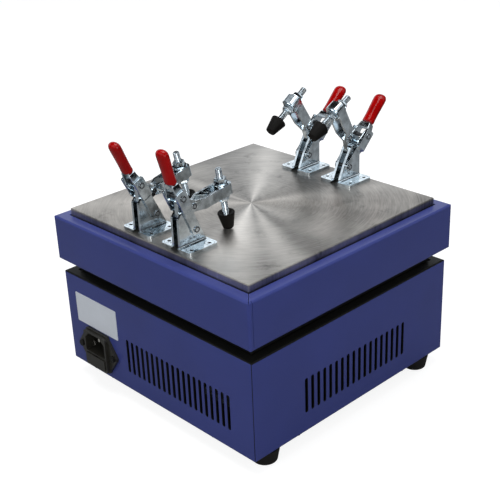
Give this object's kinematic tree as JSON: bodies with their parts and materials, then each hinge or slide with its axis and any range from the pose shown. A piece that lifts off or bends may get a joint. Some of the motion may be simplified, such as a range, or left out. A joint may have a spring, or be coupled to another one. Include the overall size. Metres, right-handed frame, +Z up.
{
  "type": "heating platform",
  "caption": "Square electric heating platform on a vented two-part sheet-metal housing, with a proud metal work plate and toggle clamps along its front and back edges.",
  "frame": {"origin": "centre of the heating plate's top, which is the work face", "axes": "+Z up out of the work face; +Y towards the back wall with the mains inlet; -Y towards the control panel; +X to the right as seen from the control panel"},
  "size_m": [0.22, 0.2471, 0.2224],
  "materials": {
    "blue_paint": "satin powder coat",
    "black_paint": "satin",
    "rubber": "matte",
    "zinc": "bright zinc plate",
    "machined_aluminium": "face turned",
    "stainless": "satin",
    "ceramic_fibre": "soft board",
    "black_plastic": "moulded",
    "plated_brass": "nickel plated",
    "white_label": "printed film, left bare",
    "dark_window": "tinted",
    "key_grey": "moulded",
    "red_plastic": "translucent moulded",
    "relay_case": "moulded",
    "terminal_body": "moulded",
    "red_vinyl": "dipped vinyl"
  },
  "bodies": {
    "root": {"lower_housing": "blue_paint", "base_plate": "black_paint", "feet": "rubber", "case_screws": "zinc", "deck_plate": "black_paint", "neck_frame": "black_paint", "heat_tray": "black_paint", "upper_housing": "blue_paint", "heating_plate": "machined_aluminium", "plate_posts": "zinc", "heater_rods": "stainless", "insulation_board": "ceramic_fibre", "thermocouple": "stainless", "inlet_socket": "black_plastic", "inlet_pins": "plated_brass", "rating_plate": "white_label", "controller_case": "black_plastic", "controller_window": "dark_window", "switch_frame": "black_plastic", "relay": "relay_case", "terminal_block": "terminal_body", "clamp_fasteners": "zinc", "clamp_1_base": "zinc", "clamp_2_base": "zinc", "clamp_3_base": "zinc", "clamp_4_base": "zinc"},
    "fuse_drawer": {"fuse_drawer": "black_plastic"},
    "key_set": {"key_set": "key_grey"},
    "key_shift": {"key_shift": "key_grey"},
    "key_down": {"key_down": "key_grey"},
    "key_up": {"key_up": "key_grey"},
    "rocker": {"switch_rocker": "red_plastic"},
    "clamp_1_arm": {"clamp_1_arm": "zinc", "clamp_1_nuts": "zinc"},
    "clamp_1_handle": {"clamp_1_handle": "zinc", "clamp_1_grip": "red_vinyl"},
    "clamp_1_link": {"clamp_1_link": "zinc"},
    "clamp_1_spindle": {"clamp_1_spindle": "zinc", "clamp_1_tip": "rubber"},
    "clamp_2_arm": {"clamp_2_arm": "zinc", "clamp_2_nuts": "zinc"},
    "clamp_2_handle": {"clamp_2_handle": "zinc", "clamp_2_grip": "red_vinyl"},
    "clamp_2_link": {"clamp_2_link": "zinc"},
    "clamp_2_spindle": {"clamp_2_spindle": "zinc", "clamp_2_tip": "rubber"},
    "clamp_3_arm": {"clamp_3_arm": "zinc", "clamp_3_nuts": "zinc"},
    "clamp_3_handle": {"clamp_3_handle": "zinc", "clamp_3_grip": "red_vinyl"},
    "clamp_3_link": {"clamp_3_link": "zinc"},
    "clamp_3_spindle": {"clamp_3_spindle": "zinc", "clamp_3_tip": "rubber"},
    "clamp_4_arm": {"clamp_4_arm": "zinc", "clamp_4_nuts": "zinc"},
    "clamp_4_handle": {"clamp_4_handle": "zinc", "clamp_4_grip": "red_vinyl"},
    "clamp_4_link": {"clamp_4_link": "zinc"},
    "clamp_4_spindle": {"clamp_4_spindle": "zinc", "clamp_4_tip": "rubber"}
  },
  "joints": [
    {"name": "fuse_drawer_slide", "type": "slide", "parent": "root", "child": "fuse_drawer", "axis": [0, 1, 0], "range_m": [0, 0.02]},
    {"name": "key_set_press", "type": "slide", "parent": "root", "child": "key_set", "axis": [0, 1, 0], "range_m": [0, 0.0006], "stiffness_N_per_m": 400},
    {"name": "key_shift_press", "type": "slide", "parent": "root", "child": "key_shift", "axis": [0, 1, 0], "range_m": [0, 0.0006], "stiffness_N_per_m": 400},
    {"name": "key_down_press", "type": "slide", "parent": "root", "child": "key_down", "axis": [0, 1, 0], "range_m": [0, 0.0006], "stiffness_N_per_m": 400},
    {"name": "key_up_press", "type": "slide", "parent": "root", "child": "key_up", "axis": [0, 1, 0], "range_m": [0, 0.0006], "stiffness_N_per_m": 400},
    {"name": "power_rocker", "type": "hinge", "parent": "root", "child": "rocker", "pos_m": [0.052, -0.1048, -0.0921], "axis": [-1, 0, 0], "range_deg": [0, 20]},
    {"name": "clamp_1_arm_pivot", "type": "hinge", "parent": "root", "child": "clamp_1_arm", "pos_m": [-0.022, 0.088, 0.0247], "axis": [-1, 0, 0], "range_deg": [0, 54]},
    {"name": "clamp_1_handle_pivot", "type": "hinge", "parent": "clamp_1_arm", "child": "clamp_1_handle", "pos_m": [-0.022, 0.0884, 0.03324], "axis": [-1, 0, 0], "range_deg": [-14.09, 0]},
    {"name": "clamp_1_link_pivot", "type": "hinge", "parent": "root", "child": "clamp_1_link", "pos_m": [-0.022, 0.0805, 0.0126], "axis": [-1, 0, 0], "range_deg": [0, 24.78]},
    {"name": "clamp_1_spindle_height", "type": "slide", "parent": "clamp_1_arm", "child": "clamp_1_spindle", "axis": [0, 0.1513, 0.9885], "range_m": [0, 0.009]},
    {"name": "clamp_2_arm_pivot", "type": "hinge", "parent": "root", "child": "clamp_2_arm", "pos_m": [0.022, 0.088, 0.0247], "axis": [-1, 0, 0], "range_deg": [-4, 50]},
    {"name": "clamp_2_handle_pivot", "type": "hinge", "parent": "clamp_2_arm", "child": "clamp_2_handle", "pos_m": [0.022, 0.08899, 0.03319], "axis": [-1, 0, 0], "range_deg": [-21.36, 1.73]},
    {"name": "clamp_2_link_pivot", "type": "hinge", "parent": "root", "child": "clamp_2_link", "pos_m": [0.022, 0.0805, 0.0126], "axis": [-1, 0, 0], "range_deg": [-1.7, 20.98]},
    {"name": "clamp_2_spindle_height", "type": "slide", "parent": "clamp_2_arm", "child": "clamp_2_spindle", "axis": [0, 0.2198, 0.9755], "range_m": [0, 0.009]},
    {"name": "clamp_3_arm_pivot", "type": "hinge", "parent": "root", "child": "clamp_3_arm", "pos_m": [0.022, -0.091, 0.0247], "axis": [1, 0, 0], "range_deg": [-48.5, 5.5]},
    {"name": "clamp_3_handle_pivot", "type": "hinge", "parent": "clamp_3_arm", "child": "clamp_3_handle", "pos_m": [0.022, -0.09766, 0.03006], "axis": [1, 0, 0], "range_deg": [-3.3, 28.95]},
    {"name": "clamp_3_link_pivot", "type": "hinge", "parent": "root", "child": "clamp_3_link", "pos_m": [0.022, -0.0835, 0.0126], "axis": [1, 0, 0], "range_deg": [-18.46, 2.11]},
    {"name": "clamp_3_spindle_height", "type": "slide", "parent": "clamp_3_arm", "child": "clamp_3_spindle", "axis": [0, -0.8406, 0.5417], "range_m": [0, 0.009]},
    {"name": "clamp_4_arm_pivot", "type": "hinge", "parent": "root", "child": "clamp_4_arm", "pos_m": [-0.022, -0.091, 0.0247], "axis": [1, 0, 0], "range_deg": [-53.8, 0]},
    {"name": "clamp_4_handle_pivot", "type": "hinge", "parent": "clamp_4_arm", "child": "clamp_4_handle", "pos_m": [-0.022, -0.09812, 0.02942], "axis": [1, 0, 0], "range_deg": [0, 39.84]},
    {"name": "clamp_4_link_pivot", "type": "hinge", "parent": "root", "child": "clamp_4_link", "pos_m": [-0.022, -0.0835, 0.0126], "axis": [1, 0, 0], "range_deg": [-18.68, 0]},
    {"name": "clamp_4_spindle_height", "type": "slide", "parent": "clamp_4_arm", "child": "clamp_4_spindle", "axis": [0, -0.887, 0.4617], "range_m": [0, 0.009]}
  ],
  "couplings": [
    {"joint": "clamp_1_handle_pivot", "follows": "clamp_1_arm_pivot", "ratio": -0.2605},
    {"joint": "clamp_1_link_pivot", "follows": "clamp_1_arm_pivot", "ratio": 0.4585},
    {"joint": "clamp_2_handle_pivot", "follows": "clamp_2_arm_pivot", "ratio": -0.4267},
    {"joint": "clamp_2_link_pivot", "follows": "clamp_2_arm_pivot", "ratio": 0.4191},
    {"joint": "clamp_3_handle_pivot", "follows": "clamp_3_arm_pivot", "ratio": -0.5965},
    {"joint": "clamp_3_link_pivot", "follows": "clamp_3_arm_pivot", "ratio": 0.3803},
    {"joint": "clamp_4_handle_pivot", "follows": "clamp_4_arm_pivot", "ratio": -0.7401},
    {"joint": "clamp_4_link_pivot", "follows": "clamp_4_arm_pivot", "ratio": 0.3469}
  ]
}
